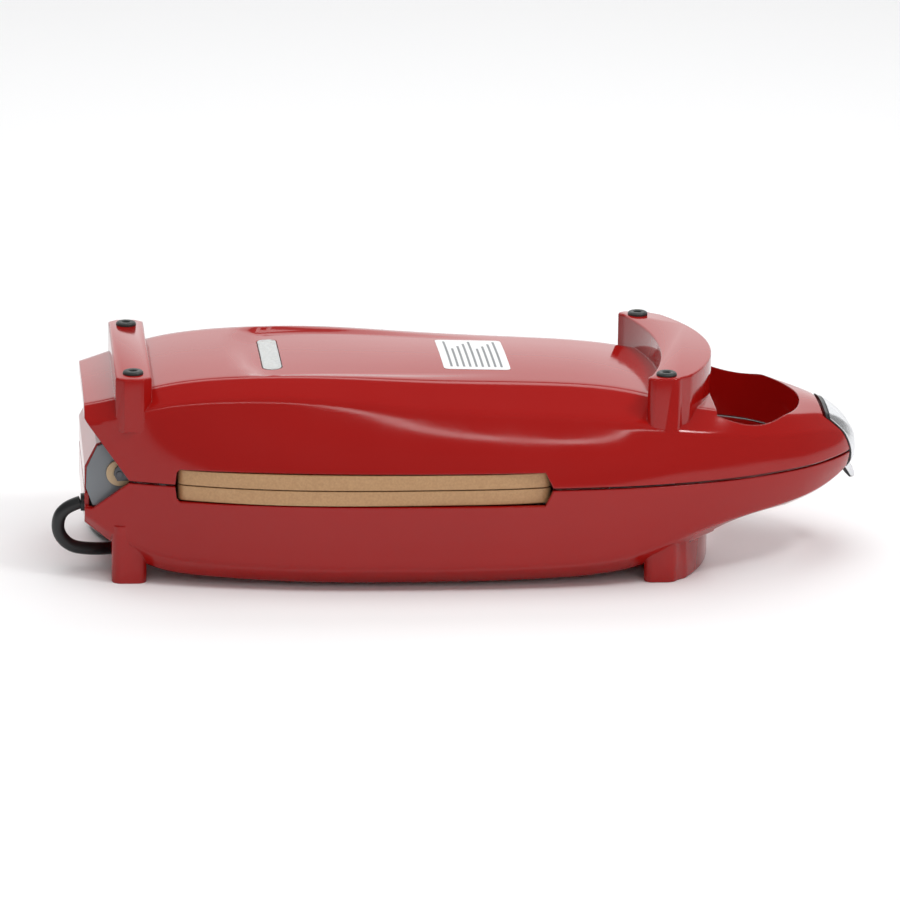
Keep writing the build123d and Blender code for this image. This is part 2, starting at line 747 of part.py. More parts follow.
def pads():
    """The four rubber pads on the lid's bars."""
    ring = Cylinder(pad_radius, pad_height) - Cylinder(pad_hole, pad_height)
    lifted = half_height + pad_height / 2
    places = [(bar_x, pad_y_rear), (pad_x_front, pad_y_front)]
    rings = Part()
    for x, y in places:
        for side in (-1, 1):
            rings += Pos(x, side * y, lifted) * ring
    return rings


# ---- latch -----------------------------------------------------------------------
def latch_layer_solid(outside, inside):
    """A layer that hugs both halves of the nose, between two insets."""
    layer = Part()
    for stations, up in ((LID_STATIONS, 1), (BASE_STATIONS, -1)):
        layer += hull(stations, up, inset=outside) - hull(stations, up, inset=inside)
    return layer


def latch_cover():
    """The bright outer plate of the latch, with its flared finger lip."""
    cover = latch_layer_solid(-latch_proud, -latch_proud + latch_layer) & nose_zone(0)
    cover &= block(latch_x - 2.0, front, -30, 30, -9.0, half_height)
    lip = [(front - 4.4, -8.0), (front - 2.2, -8.0), (front - 0.6, -11.0), (front, -14.0),
           (front - 1.4, -14.8), (front - 2.8, -11.6)]
    return cover + side_profile(lip, -latch_low_half, latch_low_half)


def latch_liner():
    """The black inner plate of the latch, with its pivot ears and hook."""
    first = -latch_proud + latch_layer
    liner = latch_layer_solid(first, first + liner_layer) & nose_zone(-0.8)
    liner &= block(latch_x - 1.5, front, -30, 30, -9.0, half_height)
    for y0, y1 in ((-ear_outer_y, -ear_inner_y), (ear_inner_y, ear_outer_y)):
        ear = cross_pin(latch_x, latch_z, y0, y1, 3.0)
        ear += block(latch_x - 1.5, latch_x + 2.6, y0, y1, latch_z, half_height)
        liner += ear & hull(LID_STATIONS, 1, inset=first)
    hook = [(front - 9.4, -8.9), (front - 3.6, -8.0), (front - 2.8, -11.4), (front - 8.6, -11.0)]
    liner += side_profile(hook, -hook_half, hook_half)
    liner -= latch_cover()
    return liner - cross_pin(latch_x, latch_z, -30, 30, latch_pin_radius + pivot_clearance)


def catch_slot():
    """The channel in the nose of the base that the latch's hook and liner rise through."""
    top = 1.0
    slot = block(front - 11.5, front + 5, -hook_half - 1.5, hook_half + 1.5, latch_low_z, -7.2)
    slot += block(front - 9.8, front + 5, -hook_half - 1.5, hook_half + 1.5, latch_low_z, top)
    side = latch_seam_half + latch_clearance
    return slot + block(front - 8.2, front + 5, -side, side, latch_low_z, top)


def latch_pin():
    """The pin that the latch turns on, held at both ends by the lid's nose."""
    return cross_pin(latch_x, latch_z, -latch_pin_half, latch_pin_half, latch_pin_radius)


def latch_spring():
    """The torsion spring round the latch pin."""
    coil = cross_pin(latch_x, latch_z, -4.0, 4.0, latch_pin_radius + 1.0)
    return coil - cross_pin(latch_x, latch_z, -5.0, 5.0, latch_pin_radius + 0.1)


# ---- cord ------------------------------------------------------------------------
# The cord's route from the strain relief to its coil, heights from the floor.
CORD_ROUTE = [
    (exit_x, cord_exit_y, seam_height + cord_exit_z),
    (-195.0, -34.0, 33.4),
    (-201.0, -33.0, 27.5),
    (-201.5, -31.5, 18.5),
    (-195.5, -30.0, 11.8),
    (-186.5, -28.5, 9.8),
    (-176.5, -26.0, 8.6),
    (-167.8, -17.0, 7.4),
    (-167.6, -3.0, 5.8),
    (-172.0, 11.0, 4.6),
    (-178.0, 26.0, 3.6),
    (-180.4, 44.0, 3.1),
    (-177.0, 64.0, 3.1),
    (-166.0, 84.0, 3.1),
    (-148.0, 99.0, 3.1),
    (-126.0, 109.0, 3.1),
    (-104.0, 114.5, 3.1),
    (-88.0, 116.2, 3.1),
]
TAIL_ROUTE = [
    (-28.0, 150.0, 9.3),
    (-26.5, 164.0, 9.6),
    (-20.0, 176.0, 10.0),
    (-9.0, 184.0, 10.0),
]


def cord_tube(route, name):
    """A tube of straight runs joined by the largest arcs that they allow."""
    points = [Vector(*p) - Vector(0, 0, seam_height) for p in route]
    radii = []
    for before, corner, after in zip(points, points[1:], points[2:]):
        turn = math.radians((corner - before).get_angle(after - corner))
        shorter = min((corner - before).length, (after - corner).length)
        radii.append(0.45 * shorter / math.tan(turn / 2))
    path = FilletPolyline(*points, radius=radii)
    start = Plane(origin=path @ 0, z_dir=path % 0)
    tube = sweep(start * Circle(cord_diameter / 2), path=path)
    expected = math.pi * cord_diameter**2 / 4 * path.length
    print(f"{name}: length {path.length:.1f}, radii {[round(r, 1) for r in radii]}, "
          f"volume ratio {tube.volume / expected:.4f}")
    return tube


def along_cord(x0, x1, radius):
    """A cylinder on the axis of the cord's exit, between two values of X."""
    place = Pos((x0 + x1) / 2, cord_exit_y, cord_exit_z) * Rot(0, 90, 0)
    return place * Cylinder(radius, x1 - x0)


def strain_relief():
    """A tapered sleeve through the rear wall, with a flange inside it."""
    place = Pos(exit_x + relief_length / 2, cord_exit_y, cord_exit_z) * Rot(0, 90, 0)
    sleeve = place * Cone(relief_radius - 1.0, relief_radius, relief_length)
    return sleeve + along_cord(rear + wall + 0.6, rear + wall + 2.4, relief_flange_radius)


def relief_bore():
    """The hole in the rear wall for the strain relief."""
    return along_cord(rear - 5, rear + wall + 0.5, relief_radius + 0.1)


def cord_coil():
    """The outer shape of the cord's three put-away turns."""
    x, y = coil_centre
    height = 1.87 * cord_diameter
    ring = Cylinder(coil_turn_radius + cord_diameter, height)
    ring -= Cylinder(coil_turn_radius - cord_diameter, height)
    ring = fillet(ring.edges().filter_by(GeomType.CIRCLE), 2.8)
    return Pos(x, y, height / 2 - seam_height) * ring


def plug_body():
    """A plain two-pin plug, lying beside the coil."""
    z = plug_level - seam_height
    grip = Pos(8.5, plug_y, z) * Rot(0, 90, 0) * Cone(5.0, 9.0, 35.0)
    head = block(26.0, 38.0, plug_y - 12.0, plug_y + 12.0, z - plug_level, z + plug_level)
    head = fillet(head.edges().filter_by(Axis.X), 6.0)
    return grip + head


def plug_pins():
    """The plug's two flat pins."""
    z = plug_level - seam_height
    pins = Part()
    for side in (-plug_pin_pitch / 2, plug_pin_pitch / 2):
        pins += block(38.0, 55.0, plug_y + side - 0.8, plug_y + side + 0.8, z - 3.2, z + 3.2)
    return pins


def main():
    os.makedirs("parts", exist_ok=True)
    save(lid_shell(), "lid_shell")
    save(base_shell(), "base_shell")
    save(hinge_tower(), "hinge_tower")
    for side, node in ((1, "near"), (-1, "far")):
        turn = Plane.XZ
        for maker, name in ((hinge_cheek, "hinge_cheek"), (pivot_bush, "pivot_bush"),
                            (pivot_pin, "pivot_pin")):
            shape = maker()
            save(shape if side == 1 else mirror(shape, about=turn), f"{name}_{node}")
    save(lid_frame(), "lid_frame")
    save(base_frame(), "base_frame")
    for up, name in ((1, "upper"), (-1, "lower")):
        save(cooking_plate(up), f"{name}_plate")
        save(heating_element(up), f"{name}_element")
        save(element_clamps(up), f"{name}_element_clamps")
        save(plate_screws(up), f"{name}_screws")
    save(thermostat(), "thermostat")
    save(thermal_fuse(), "thermal_fuse")
    save(terminal_block(), "terminal_block")
    save(fuse_wire(), "fuse_wire")
    save(thermostat_wire(), "thermostat_wire")
    save(indicator_lens(), "indicator_lens")
    save(lamp_holder(), "lamp_holder")
    save(indicator_lamps(), "indicator_lamps")
    save(rating_label(), "rating_label")
    save(pads(), "rubber_pads")
    save(latch_cover(), "latch_cover")
    save(latch_liner(), "latch_liner")
    save(latch_pin(), "latch_pin")
    save(latch_spring(), "latch_spring")
    save(strain_relief(), "strain_relief")
    save(cord_tube(CORD_ROUTE, "power cord"), "power_cord")
    save(cord_tube(TAIL_ROUTE, "cord tail"), "cord_tail")
    save(cord_coil(), "cord_coil")
    save(plug_body(), "plug_body")
    save(plug_pins(), "plug_pins")


main()
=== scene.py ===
import json
import math

import bmesh
import bpy
from mathutils import Matrix, Vector


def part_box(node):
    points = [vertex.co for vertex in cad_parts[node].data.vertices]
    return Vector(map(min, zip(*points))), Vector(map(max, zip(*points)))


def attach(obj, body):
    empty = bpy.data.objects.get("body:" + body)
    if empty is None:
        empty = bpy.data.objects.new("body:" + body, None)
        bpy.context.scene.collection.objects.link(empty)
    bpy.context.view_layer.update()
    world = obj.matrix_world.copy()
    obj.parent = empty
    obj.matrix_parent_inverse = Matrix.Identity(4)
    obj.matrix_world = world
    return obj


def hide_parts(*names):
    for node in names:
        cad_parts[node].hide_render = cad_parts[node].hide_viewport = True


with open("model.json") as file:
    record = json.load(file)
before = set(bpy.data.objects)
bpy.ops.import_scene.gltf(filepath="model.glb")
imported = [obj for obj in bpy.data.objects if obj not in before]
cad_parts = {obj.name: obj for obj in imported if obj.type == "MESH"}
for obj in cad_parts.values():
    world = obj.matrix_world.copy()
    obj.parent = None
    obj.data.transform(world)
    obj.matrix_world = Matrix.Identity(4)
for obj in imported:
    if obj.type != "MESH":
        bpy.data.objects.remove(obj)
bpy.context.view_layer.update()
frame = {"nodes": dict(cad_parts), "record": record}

# Looks of a clamshell donut maker. The mesh builders work in millimetres, with
# heights from the plane where the two halves meet, and place() turns a finished
# mesh into metres in the frame's own place.
MM = 0.001
SEAM = (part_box("upper_plate")[0][2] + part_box("lower_plate")[1][2]) / 2
SEAM_MM = SEAM / MM

WALL = 2.6
RIM_GAP = 0.6
BODY_LEVELS = 3


# ---- materials -----------------------------------------------------------------
class Finish:
    """A material with its shader, and helpers for its procedural nodes."""

    def __init__(self, name, color, roughness, **values):
        self.material = bpy.data.materials.new(name)
        self.material.use_nodes = True
        self.tree = self.material.node_tree
        self.shader = self.tree.nodes["Principled BSDF"]
        self.shader.inputs["Base Color"].default_value = (*color, 1)
        self.shader.inputs["Roughness"].default_value = roughness
        for socket, value in values.items():
            self.shader.inputs[socket.replace("_", " ")].default_value = value
        self.place = self.node("ShaderNodeTexCoord").outputs["Object"]

    def node(self, kind, **settings):
        made = self.tree.nodes.new(kind)
        for key, value in settings.items():
            setattr(made, key, value)
        return made

    def link(self, source, target):
        self.tree.links.new(source, target)

    def noise(self, scale, detail=3.0, stretch=None):
        """A noise over the piece; stretch squeezes it along the axes."""
        texture = self.node("ShaderNodeTexNoise")
        texture.inputs["Scale"].default_value = scale
        texture.inputs["Detail"].default_value = detail
        source = self.place
        if stretch:
            mapping = self.node("ShaderNodeMapping")
            mapping.inputs["Scale"].default_value = stretch
            self.link(source, mapping.inputs["Vector"])
            source = mapping.outputs["Vector"]
        self.link(source, texture.inputs["Vector"])
        return texture.outputs["Fac"]

    def spread(self, fac, low, high):
        """Roughness that varies between two values."""
        ramp = self.node("ShaderNodeMapRange")
        ramp.inputs["From Min"].default_value = 0.3
        ramp.inputs["From Max"].default_value = 0.7
        ramp.inputs["To Min"].default_value = low
        ramp.inputs["To Max"].default_value = high
        self.link(fac, ramp.inputs["Value"])
        self.link(ramp.outputs["Result"], self.shader.inputs["Roughness"])

    def tint(self, fac, dark, light):
        """Base colour that varies between two colours."""
        ramp = self.node("ShaderNodeValToRGB")
        ramp.color_ramp.elements[0].position = 0.3
        ramp.color_ramp.elements[0].color = (*dark, 1)
        ramp.color_ramp.elements[1].position = 0.7
        ramp.color_ramp.elements[1].color = (*light, 1)
        self.link(fac, ramp.inputs["Fac"])
        self.link(ramp.outputs["Color"], self.shader.inputs["Base Color"])

    def relief(self, fac, height, strength=1.0, edge=None):
        """Surface relief of the given height in mm, over edges rounded in mm."""
        bump = self.node("ShaderNodeBump")
        bump.inputs["Strength"].default_value = strength
        bump.inputs["Distance"].default_value = height * MM
        self.link(fac, bump.inputs["Height"])
        if edge:
            rounding = self.node("ShaderNodeBevel", samples=6)
            rounding.inputs["Radius"].default_value = edge * MM
            self.link(rounding.outputs["Normal"], bump.inputs["Normal"])
        self.link(bump.outputs["Normal"], self.shader.inputs["Normal"])


def red_gloss():
    finish = Finish("red_gloss", (0.33, 0.005, 0.004), 0.1, IOR=1.44)
    finish.tint(finish.noise(9.0), (0.320, 0.0045, 0.0032), (0.345, 0.0058, 0.0042))
    finish.spread(finish.noise(60.0, 4.0), 0.07, 0.13)
    finish.relief(finish.noise(420.0, 2.0), 0.02, 0.2, edge=0.9)
    return finish.material


def plate_coating():
    finish = Finish("plate_coating", (0.50, 0.29, 0.14), 0.42)
    finish.tint(finish.noise(900.0, 5.0), (0.44, 0.245, 0.112), (0.53, 0.31, 0.15))
    finish.spread(finish.noise(300.0, 4.0), 0.36, 0.5)
    finish.relief(finish.noise(1500.0, 3.0), 0.03, 0.4, edge=0.7)
    return finish.material


def moulded(name, dark, light, low, high, grain=900.0, edge=0.4, **values):
    """A plain moulded plastic or rubber with a fine grain."""
    finish = Finish(name, light, low, **values)
    finish.tint(finish.noise(40.0, 4.0), dark, light)
    finish.spread(finish.noise(220.0, 4.0), low, high)
    finish.relief(finish.noise(grain, 3.0), 0.03, 0.4, edge=edge)
    return finish.material


def metal(name, dark, light, low, high, stretch=(1, 8, 8)):
    """A metal with fine drawn scratches."""
    finish = Finish(name, light, low, Metallic=1.0)
    finish.tint(finish.noise(90.0, 4.0), dark, light)
    finish.spread(finish.noise(260.0, 5.0, stretch), low, high)
    finish.relief(finish.noise(600.0, 3.0, stretch), 0.01, 0.3, edge=0.3)
    return finish.material


def clear_lens():
    finish = Finish("clear_lens", (0.82, 0.85, 0.84), 0.12, Transmission_Weight=0.55, IOR=1.49)
    cells = finish.node("ShaderNodeTexVoronoi")
    cells.inputs["Scale"].default_value = 420.0
    finish.link(finish.place, cells.inputs["Vector"])
    finish.relief(cells.outputs["Distance"], 0.35, 0.6, edge=0.5)
    return finish.material


def label_paper():
    finish = Finish("label_white", (0.80, 0.81, 0.81), 0.45)
    finish.relief(finish.noise(800.0, 3.0), 0.02, 0.3, edge=0.2)
    return finish.material


def braided():
    finish = Finish("wire_sleeve", (0.72, 0.69, 0.62), 0.8)
    weave = finish.node("ShaderNodeTexWave", bands_direction="DIAGONAL")
    weave.inputs["Scale"].default_value = 700.0
    finish.link(finish.place, weave.inputs["Vector"])
    finish.tint(weave.outputs["Fac"], (0.62, 0.58, 0.50), (0.76, 0.73, 0.66))
    finish.relief(weave.outputs["Fac"], 0.1, 0.6)
    return finish.material


RED = red_gloss()
COATING = plate_coating()
GREY = moulded("hinge_grey", (0.16, 0.175, 0.19), (0.19, 0.205, 0.22), 0.16, 0.24)
TAN = moulded("tan_plastic", (0.50, 0.35, 0.20), (0.56, 0.41, 0.25), 0.35, 0.5)
BLACK = moulded("black_plastic", (0.008, 0.008, 0.009), (0.016, 0.016, 0.017), 0.28, 0.42)
RUBBER = moulded("pad_rubber", (0.022, 0.027, 0.026), (0.040, 0.046, 0.045), 0.38, 0.55, edge=0.35)
CORD_BLACK = moulded("cord_black", (0.008, 0.009, 0.010), (0.014, 0.016, 0.017), 0.34, 0.46)
DARK_STEEL = metal("frame_steel", (0.07, 0.07, 0.075), (0.12, 0.12, 0.13), 0.34, 0.48)
STEEL = metal("steel", (0.48, 0.48, 0.49), (0.62, 0.62, 0.63), 0.28, 0.42)
HEATED = metal("element_steel", (0.20, 0.18, 0.16), (0.34, 0.31, 0.28), 0.4, 0.55)
SILVER = metal("latch_silver", (0.74, 0.75, 0.77), (0.82, 0.83, 0.85), 0.22, 0.34, (1, 1, 1))
BRASS = metal("brass_pins", (0.62, 0.50, 0.28), (0.74, 0.62, 0.38), 0.2, 0.32)
LENS = clear_lens()
LAMP = moulded("lamp_glass", (0.62, 0.26, 0.14), (0.72, 0.36, 0.20), 0.1, 0.16)
PAPER = label_paper()
LABEL_BAR = moulded("label_bar", (0.20, 0.21, 0.22), (0.26, 0.27, 0.28), 0.5, 0.6, edge=None)
BRAID = braided()

SLOT_FINISH = {
    "red_gloss": RED, "plate_coating": COATING, "hinge_grey": GREY, "tan_plastic": TAN,
    "black_plastic": BLACK, "pad_rubber": RUBBER, "cord_black": CORD_BLACK, "steel": STEEL,
    "frame_steel": DARK_STEEL,
    "element_steel": HEATED, "latch_silver": SILVER, "brass_pins": BRASS, "clear_lens": LENS,
    "lamp_glass": LAMP, "label_white": PAPER, "wire_sleeve": BRAID,
}


def dress_frame():
    """Give every CAD node the finish of its slot."""
    for entry in frame["record"]["subparts"]:
        mesh = frame["nodes"][entry["node"]].data
        mesh.materials.clear()
        mesh.materials.append(SLOT_FINISH[entry["material_slot"]])


# ---- mesh helpers ----------------------------------------------------------------
def place(bm):
    """Turn a mesh from millimetres about the seam plane into the frame's metres."""
    bmesh.ops.scale(bm, vec=(MM, MM, MM), verts=bm.verts)
    bmesh.ops.translate(bm, vec=(0, 0, SEAM), verts=bm.verts)


def as_object(bm, name):
    """A bmesh as a new object, with the bmesh freed."""
    mesh = bpy.data.meshes.new(name)
    bm.to_mesh(mesh)
    bm.free()
    piece = bpy.data.objects.new(name, mesh)
    bpy.context.scene.collection.objects.link(piece)
    return piece


def finished(piece, finish, body, nodes, angle=32):
    """Shade a piece, give it its finish and body, and let it stand for CAD nodes."""
    piece.data.materials.clear()
    piece.data.materials.append(finish)
    piece.data.shade_smooth()
    piece.data.set_sharp_from_angle(angle=math.radians(angle))
    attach(piece, body)
    if nodes:
        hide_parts(*nodes)
    return piece


def applied(piece):
    """Replace a piece's mesh by the one its modifiers make."""
    graph = bpy.context.evaluated_depsgraph_get()
    mesh = bpy.data.meshes.new_from_object(piece.evaluated_get(graph))
    old = piece.data
    piece.modifiers.clear()
    piece.data = mesh
    bpy.data.meshes.remove(old)
    return piece


def combined(piece, tool, operation):
    """Join, cut or intersect a piece with a tool, which is used up."""
    modifier = piece.modifiers.new("cut", "BOOLEAN")
    modifier.operation = operation
    modifier.solver = "EXACT"
    modifier.object = tool
    applied(piece)
    bpy.data.objects.remove(tool)
    return piece


def prism(points, low, high, axis, name="tool", bevel=0.0):
    """A closed prism from an outline, along the given axis, with its two ends bevelled."""
    bm = bmesh.new()
    level = "XYZ".index(axis)
    outline = []
    for a, b in points:
        corner = [a, b]
        corner.insert(level, low)
        outline.append(bm.verts.new(corner))
    along = [0.0, 0.0, 0.0]
    along[level] = high - low
    face = bm.faces.new(outline)
    made = bmesh.ops.extrude_face_region(bm, geom=[face])
    far = [v for v in made["geom"] if isinstance(v, bmesh.types.BMVert)]
    bmesh.ops.translate(bm, vec=along, verts=far)
    bmesh.ops.recalc_face_normals(bm, faces=bm.faces)
    if bevel:
        ends = [e for e in bm.edges if abs(e.verts[0].co[level] - e.verts[1].co[level]) < 0.001]
        bmesh.ops.bevel(bm, geom=ends, offset=bevel, segments=3, profile=0.5,
                        affect="EDGES", material=-1)
    place(bm)
    return as_object(bm, name)


def arc(centre, radius, start, end, steps):
    """Points of an arc in the plane, by its angles in degrees."""
    points = []
    for step in range(steps + 1):
        angle = math.radians(start + (end - start) * step / steps)
        points.append((centre[0] + radius * math.cos(angle), centre[1] + radius * math.sin(angle)))
    return points


# ---- the body's skin ---------------------------------------------------------------
# Stations along X. Each row holds x, the rim's half width, and for the lid and
# the base the fold (y, z) on the flank, the edge (y, z) of the crown and the
# crown's height.
STATIONS = [
    (-187.0, 50.0, (49.5, 27.0, 41.0, 34.0, 34.8), (49.0, 18.0, 44.0, 23.0, 24.0)),
    (-172.0, 54.5, (54.8, 30.0, 45.5, 37.8, 38.8), (55.4, 27.5, 47.0, 34.6, 35.8)),
    (-155.0, 61.3, (57.6, 36.0, 47.0, 43.8, 45.2), (60.0, 35.5, 54.5, 44.4, 45.8)),
    (-130.0, 69.0, (59.0, 40.5, 47.5, 47.9, 49.0), (67.5, 37.6, 60.0, 46.4, 47.6)),
    (-91.0, 75.5, (61.0, 42.0, 49.0, 49.1, 49.9), (74.5, 38.5, 64.5, 48.3, 49.5)),
    (-57.0, 78.6, (63.0, 39.2, 49.5, 47.8, 49.3), (77.0, 39.0, 66.0, 48.7, 49.8)),
    (-23.0, 80.0, (64.5, 35.2, 47.5, 45.2, 47.1), (77.8, 39.0, 66.5, 48.7, 49.8)),
    (16.0, 80.0, (64.5, 33.2, 44.5, 43.8, 45.7), (77.8, 38.6, 66.0, 48.5, 49.7)),
    (60.0, 78.0, (63.5, 30.6, 43.5, 41.9, 43.7), (75.0, 37.2, 63.0, 47.4, 48.8)),
    (84.0, 74.0, (66.0, 26.5, 46.0, 37.0, 38.5), (70.0, 32.5, 59.0, 42.0, 43.6)),
    (100.0, 70.0, (64.0, 23.5, 51.0, 32.6, 34.4), (65.5, 26.0, 55.0, 34.0, 35.6)),
    (116.0, 65.5, (60.5, 21.0, 52.5, 30.4, 32.2), (60.0, 22.0, 49.0, 28.4, 30.0)),
    (132.0, 58.8, (54.6, 18.8, 47.5, 27.8, 29.6), (53.0, 19.2, 42.0, 24.8, 26.4)),
    (147.0, 50.8, (46.8, 16.6, 39.0, 24.6, 26.8), (45.5, 17.4, 34.5, 22.2, 23.8)),
    (160.0, 42.5, (37.5, 16.0, 28.0, 22.2, 24.2), (37.5, 15.4, 27.0, 19.8, 21.6)),
    (170.0, 33.0, (27.5, 14.2, 18.0, 20.3, 22.4), (28.4, 13.0, 19.0, 17.0, 18.8)),
    (178.0, 23.5, (19.5, 11.0, 12.5, 16.0, 18.0), (19.8, 10.0, 12.5, 13.2, 14.8)),
    (183.0, 16.0, (13.2, 7.6, 8.5, 11.0, 12.4), (13.4, 7.0, 8.5, 9.2, 10.4)),
    (186.0, 9.0, (7.4, 4.2, 4.8, 6.0, 6.8), (7.4, 4.0, 4.8, 5.2, 6.0)),
]
FOLD, EDGE = 2, 3            # where the fold and the crown's edge come in a quarter
CREASE = {FOLD: 0.55, EDGE: 0.75}


def quarter(rim, shape):
    """Half of one half's section, from the rim up to just short of the crown."""
    fold_y, fold_z, edge_y, edge_z, crown = shape
    return [(rim, 0.0), (rim - 0.28 * (rim - fold_y), 0.5 * fold_z), (fold_y, fold_z),
            (edge_y, edge_z), (0.5 * edge_y, crown - 0.25 * (crown - edge_z))]


def ring(rim, lid, base):
    """The whole closed section, from the near rim over the lid and under the base."""
    up = quarter(rim, lid)
    down = quarter(rim, base)
    near_top = [(-y, z) for y, z in up] + [(0.0, lid[4])]
    far_top = list(reversed(up))
    far_low = [(y, -z) for y, z in down[1:]] + [(0.0, -base[4])]
    near_low = [(-y, -z) for y, z in reversed(down[1:])]
    return near_top + far_top + far_low + near_low


def body_skin(rows):
    """The smooth closed skin of both halves together, over the given stations."""
    rings = [ring(rim, lid, base) for x, rim, lid, base in rows]
    around = len(rings[0])
    bm = bmesh.new()
    bmesh.ops.create_grid(bm, x_segments=around, y_segments=len(rows) - 1, size=1.0)
    crease = bm.edges.layers.float.new("crease_edge")
    column = {}
    for vert in bm.verts:
        place_round = round((vert.co.x + 1) / 2 * around)
        row = round((vert.co.y + 1) / 2 * (len(rows) - 1))
        column[vert] = place_round % around
        y, z = rings[row][place_round % around]
        vert.co = (rows[row][0], y, z)
    creased = {}
    for index, value in CREASE.items():
        for start in (index, 10 - index, 10 + index, around - index):
            creased[start % around] = value
    for edge in bm.edges:
        first, second = (column[v] for v in edge.verts)
        if first == second and first in creased:
            edge[crease] = creased[first]
    bmesh.ops.remove_doubles(bm, verts=bm.verts, dist=0.001)
    skin = as_object(bm, "skin")
    smooth = skin.modifiers.new("smooth", "SUBSURF")
    smooth.levels = BODY_LEVELS
    smooth.render_levels = BODY_LEVELS
    return applied(skin)


def closed_half(skin, side, inset=0.0, start=None):
    """One half of the skin, cut at its rim and closed; side is 1 for the lid."""
    bm = bmesh.new()
    bm.from_mesh(skin.data)
    bmesh.ops.holes_fill(bm, edges=[e for e in bm.edges if e.is_boundary], sides=0)
    bmesh.ops.recalc_face_normals(bm, faces=bm.faces)
    if inset:
        move = [(v, v.normal.copy()) for v in bm.verts]
        for vert, normal in move:
            vert.co -= normal * inset
    if side:
        cut(bm, (0, 0, side * RIM_GAP), (0, 0, -side))
    if start is not None:
        cut(bm, (start, 0, 0), (-1, 0, 0))
    bmesh.ops.recalc_face_normals(bm, faces=bm.faces)
    return bm


def cut(bm, point, away):
    """Remove what lies beyond a plane and close the cut with a flat face."""
    geometry = bm.verts[:] + bm.edges[:] + bm.faces[:]
    bmesh.ops.bisect_plane(bm, geom=geometry, plane_co=point, plane_no=away, clear_outer=True)
    bmesh.ops.holes_fill(bm, edges=[e for e in bm.edges if e.is_boundary], sides=0)


def solid_half(skin, side, inset=0.0, start=None, name="half"):
    """closed_half() as an object in the frame's place."""
    bm = closed_half(skin, side, inset, start)
    place(bm)
    return as_object(bm, name)


# ---- cutters and additions -----------------------------------------------------------
TOP = 50.2                  # the feet's height over the seam, the same for both halves
PAST = 60.0                 # past the body's crown, so that a cutter goes right through
BAR_X, BAR_HALF, BAR_LENGTH, BAR_CORNER = -164.0, 57.4, 17.0, 4.0
BAR_LOW = 24.0
POST_INNER, POST_OUTER = 36.0, 56.4
POST_REAR, POST_LENGTH = -174.4, 16.6
POST_CORNER, POST_HIGH = 4.8, -22.0
CRESCENT_HALF = 65.5
CRESCENT_LOW = 20.0         # the front foot starts inside the casing, behind the hand hole
CORNER_REAR = -166.2        # where the rims' cut rear corners begin


def bar_outline():
    """The lid's rear bar, with cut corners."""
    x0 = BAR_X - BAR_LENGTH / 2
    x1 = BAR_X + BAR_LENGTH / 2
    y = BAR_HALF
    corners = [(x0, y - BAR_CORNER), (x0 + BAR_CORNER, y), (x1 - BAR_CORNER, y), (x1, y - BAR_CORNER)]
    return corners + [(x, -v) for x, v in reversed(corners)]


def crescent_outline():
    """The front foot's outline: two arcs, with rounded ends."""
    outer = arc((3.7, 0), 112.0, -33.4, 33.4, 40)
    inner = arc((-81.2, 0), 172.0, 20.0, -20.0, 40)
    end = CRESCENT_HALF
    corner = arc((90.0, -end + 5.0), 5.0, -90.0, -20.0, 5)
    inner_corner = arc((82.6, -end + 4.0), 4.0, -180.0, -90.0, 5)
    near = inner_corner + corner
    far = [(x, -y) for x, y in reversed(near)]
    return (near + [p for p in outer if abs(p[1]) < end - 5.5] + far
            + [p for p in inner if abs(p[1]) < end - 5.5])


def handle_outline(extra):
    """The D-shaped hand hole."""
    centre, rear = 117.0, 113.0 - extra
    long, wide = 42.5 + extra, 54.0 + extra
    turn = math.degrees(math.acos((rear - centre) / long))
    points = []
    steps = 64
    for step in range(steps + 1):
        angle = math.radians(-turn + 2 * turn * step / steps)
        points.append((centre + long * math.cos(angle), wide * math.sin(angle)))
    return points


def notch(side):
    """The opening in both rims that shows the plates' flanges."""
    x0, x1, z = -144.1, 33.1, 7.9
    points = [(x0 - 0.8, 0), (x0, z - 1.5), (x0 + 1.5, z), (x1 - 4.0, z), (x1, 0)]
    points += [(x, -v) for x, v in reversed(points[1:-1])]
    low, high = (-85.0, -56.0) if side < 0 else (56.0, 85.0)
    return prism(points, low, high, "Y")


def latch_outline(gap):
    """The latch seen from the front: wide over the lid, narrow at its lip."""
    top, middle, low, bottom = 21.5 + gap, 13.5 + gap, 9.0 + gap, -13.5 - gap
    half = [(top, 60.0), (top, 23.0), (middle, 0.0), (low, -10.0), (low, bottom)]
    return half + [(-y, z) for y, z in reversed(half)]


LATCH_BACK = 170.4          # the rear edge of the latch's black plate
LINER_BAND = 2.2            # how much of the black plate shows behind the silver one
LATCH_GAP = 0.6             # between the latch and its pocket, all round
POCKET_TOP, POCKET_DEPTH = -0.9, 2.6    # the pocket's insets from the skin
SWING_GAP = 1.6             # more room behind the latch, for its turn


def latch_pocket(skin, back):
    """What is cut from the nose to let the latch in, from the given place forward."""
    return latch_layer(skin, POCKET_TOP, POCKET_DEPTH, LATCH_GAP, back, -PAST)


def box(x0, x1, y0, y1, z0, z1):
    return prism([(x0, y0), (x1, y0), (x1, y1), (x0, y1)], z0, z1, "Z")


